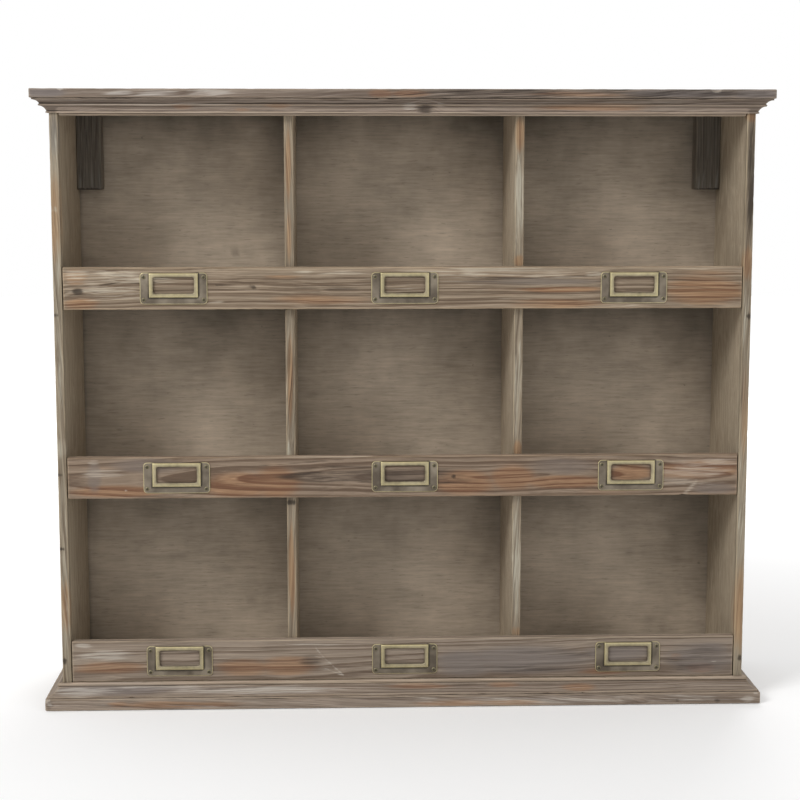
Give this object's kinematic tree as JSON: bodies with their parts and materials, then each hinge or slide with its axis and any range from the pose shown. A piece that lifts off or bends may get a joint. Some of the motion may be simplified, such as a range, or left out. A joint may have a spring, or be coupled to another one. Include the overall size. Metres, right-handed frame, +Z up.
{
  "type": "open-front wall cabinet",
  "caption": "Wall cabinet with open pigeon-holes behind standing front rails with brass card holders, a moulded crown and base, and keyhole hangers on the back.",
  "frame": {"origin": "middle of the underside of the base, in width and in overall depth", "axes": "+X to the viewer's right, +Y towards the wall, +Z up; the open front faces -Y"},
  "size_m": [0.722, 0.161, 0.615],
  "materials": {
    "carcass_wood": "weathered and limed, matt",
    "rail_wood": "weathered and limed, matt",
    "moulding_wood": "weathered grey, worn arrises, matt",
    "back_plywood": "stained plywood, matt",
    "block_wood": "dark stained, matt",
    "antique_brass": "antiqued, worn edges",
    "brass_screw": "antiqued",
    "zinc_steel": "zinc plated",
    "nail_steel": "dull, darkened"
  },
  "bodies": {
    "root": {"back_panel": "back_plywood", "back_panel_pins": "nail_steel", "base_board": "moulding_wood", "base_board_nails": "nail_steel", "base_moulding_front": "moulding_wood", "base_moulding_left": "moulding_wood", "base_moulding_right": "moulding_wood", "bottom_panel": "carcass_wood", "card_holder_lower_centre": "antique_brass", "card_holder_lower_left": "antique_brass", "card_holder_lower_right": "antique_brass", "card_holder_middle_centre": "antique_brass", "card_holder_middle_left": "antique_brass", "card_holder_middle_right": "antique_brass", "card_holder_screws_lower_centre": "brass_screw", "card_holder_screws_lower_left": "brass_screw", "card_holder_screws_lower_right": "brass_screw", "card_holder_screws_middle_centre": "brass_screw", "card_holder_screws_middle_left": "brass_screw", "card_holder_screws_middle_right": "brass_screw", "card_holder_screws_upper_centre": "brass_screw", "card_holder_screws_upper_left": "brass_screw", "card_holder_screws_upper_right": "brass_screw", "card_holder_upper_centre": "antique_brass", "card_holder_upper_left": "antique_brass", "card_holder_upper_right": "antique_brass", "crown_board": "moulding_wood", "crown_board_nails": "nail_steel", "crown_moulding_front": "moulding_wood", "crown_moulding_left": "moulding_wood", "crown_moulding_right": "moulding_wood", "divider_lower_left": "carcass_wood", "divider_lower_right": "carcass_wood", "divider_middle_left": "carcass_wood", "divider_middle_right": "carcass_wood", "divider_upper_left": "carcass_wood", "divider_upper_right": "carcass_wood", "front_rail_lower": "rail_wood", "front_rail_middle": "rail_wood", "front_rail_upper": "rail_wood", "hanger_plate_left": "zinc_steel", "hanger_plate_right": "zinc_steel", "hanger_screws_left": "zinc_steel", "hanger_screws_right": "zinc_steel", "hanging_block_left": "block_wood", "hanging_block_right": "block_wood", "head_rail": "carcass_wood", "rail_brads": "nail_steel", "shelf_middle": "carcass_wood", "shelf_upper": "carcass_wood", "side_nails_left": "nail_steel", "side_nails_right": "nail_steel", "side_panel_left": "carcass_wood", "side_panel_right": "carcass_wood", "top_panel": "carcass_wood"}
  },
  "joints": []
}
